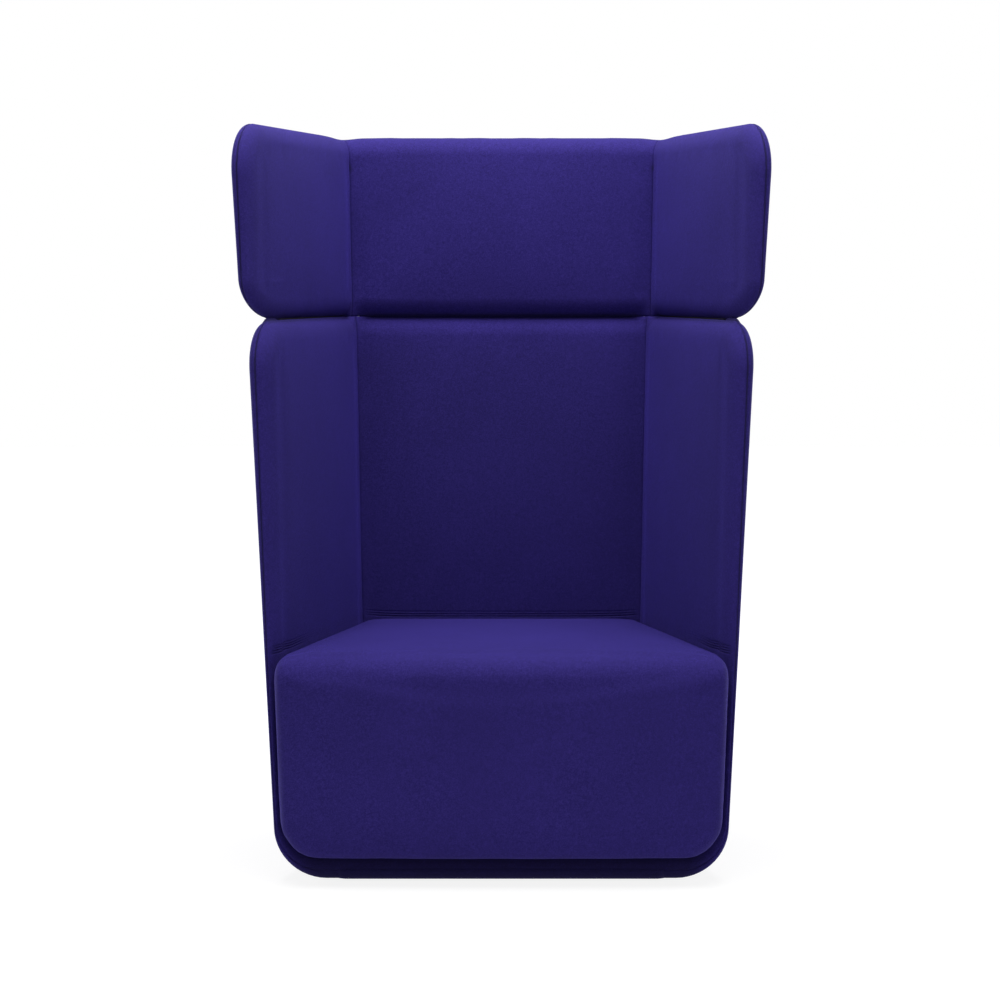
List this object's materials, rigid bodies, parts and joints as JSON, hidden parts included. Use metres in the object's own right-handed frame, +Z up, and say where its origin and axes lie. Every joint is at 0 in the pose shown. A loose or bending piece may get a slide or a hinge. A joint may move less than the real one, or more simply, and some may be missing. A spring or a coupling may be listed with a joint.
{
  "type": "lounge chair",
  "caption": "High back lounge chair with splayed upholstered walls, a separate winged head section and a deep rounded seat block on levelling glides.",
  "frame": {"origin": "on the floor, under the middle of the chair's box", "axes": "+X to the sitter's left (right in the front view), +Y towards the back, +Z up"},
  "size_m": [0.9796, 0.711, 1.4],
  "materials": {
    "violet_fabric": "fine woven wool",
    "foam": "open-cell upholstery foam",
    "dust_cloth": "non-woven",
    "webbing": "woven elastic webbing",
    "plywood": "birch plywood",
    "timber": "planed softwood",
    "zinc_steel": "zinc plated",
    "black_plastic": "moulded"
  },
  "bodies": {
    "chair": {"base_board": "plywood", "joint_strips": "plywood", "glide_blocks": "timber", "dust_cover": "dust_cloth", "tee_nuts": "zinc_steel", "base_front_rail": "timber", "base_front_padding": "foam", "base_front_cover": "violet_fabric", "base_lower_cover": "violet_fabric", "side_shell_left": "plywood", "side_shell_right": "plywood", "back_shell": "plywood", "corner_post_left": "timber", "corner_post_right": "timber", "frame_screws": "zinc_steel", "shell_padding_left": "foam", "shell_padding_back": "foam", "shell_padding_right": "foam", "shell_outer_padding": "foam", "shell_cover_left": "violet_fabric", "shell_cover_back": "violet_fabric", "shell_cover_right": "violet_fabric", "shell_outer_cover": "violet_fabric", "head_side_board_left": "plywood", "head_side_board_right": "plywood", "head_back_board": "plywood", "head_post_left": "timber", "head_post_right": "timber", "head_padding_left": "foam", "head_padding_back": "foam", "head_padding_right": "foam", "head_outer_padding": "foam", "head_cover_left": "violet_fabric", "head_cover_back": "violet_fabric", "head_cover_right": "violet_fabric", "head_outer_cover": "violet_fabric", "head_felt": "dust_cloth", "head_screws": "zinc_steel", "head_spigots": "zinc_steel", "seat_plinths": "timber", "seat_front_former": "plywood", "seat_rear_former": "plywood", "seat_rail_left": "timber", "seat_rail_right": "timber", "seat_centre_rail": "timber", "seat_corner_blocks": "timber", "webbing_lengthwise": "webbing", "webbing_crosswise": "webbing", "seat_foam": "foam", "seat_front_foam": "foam", "seat_cover": "violet_fabric", "seat_bolts": "zinc_steel"},
    "foot_front_left": {"glide_foot_front_left": "black_plastic"},
    "stem_front_left": {"glide_stem_front_left": "zinc_steel"},
    "foot_front_right": {"glide_foot_front_right": "black_plastic"},
    "stem_front_right": {"glide_stem_front_right": "zinc_steel"},
    "foot_rear_left": {"glide_foot_rear_left": "black_plastic"},
    "stem_rear_left": {"glide_stem_rear_left": "zinc_steel"},
    "foot_rear_right": {"glide_foot_rear_right": "black_plastic"},
    "stem_rear_right": {"glide_stem_rear_right": "zinc_steel"}
  },
  "joints": [
    {"name": "glide_front_left", "type": "slide", "parent": "chair", "child": "foot_front_left", "axis": [0, 0, -1], "range_m": [0, 0.01]},
    {"name": "stem_front_left", "type": "hinge", "parent": "foot_front_left", "child": "stem_front_left", "pos_m": [-0.2085, -0.21072, 0], "axis": [0, 0, -1], "range_deg": [0, 2880]},
    {"name": "glide_front_right", "type": "slide", "parent": "chair", "child": "foot_front_right", "axis": [0, 0, -1], "range_m": [0, 0.01]},
    {"name": "stem_front_right", "type": "hinge", "parent": "foot_front_right", "child": "stem_front_right", "pos_m": [0.2085, -0.21072, 0], "axis": [0, 0, -1], "range_deg": [0, 2880]},
    {"name": "glide_rear_left", "type": "slide", "parent": "chair", "child": "foot_rear_left", "axis": [0, 0, -1], "range_m": [0, 0.01]},
    {"name": "stem_rear_left", "type": "hinge", "parent": "foot_rear_left", "child": "stem_rear_left", "pos_m": [-0.1354, 0.10851, 0], "axis": [0, 0, -1], "range_deg": [0, 2880]},
    {"name": "glide_rear_right", "type": "slide", "parent": "chair", "child": "foot_rear_right", "axis": [0, 0, -1], "range_m": [0, 0.01]},
    {"name": "stem_rear_right", "type": "hinge", "parent": "foot_rear_right", "child": "stem_rear_right", "pos_m": [0.1354, 0.10851, 0], "axis": [0, 0, -1], "range_deg": [0, 2880]}
  ],
  "couplings": [
    {"joint": "stem_front_left", "follows": "glide_front_left", "rad_per_m": 5026.5},
    {"joint": "stem_front_right", "follows": "glide_front_right", "rad_per_m": 5026.5},
    {"joint": "stem_rear_left", "follows": "glide_rear_left", "rad_per_m": 5026.5},
    {"joint": "stem_rear_right", "follows": "glide_rear_right", "rad_per_m": 5026.5}
  ]
}
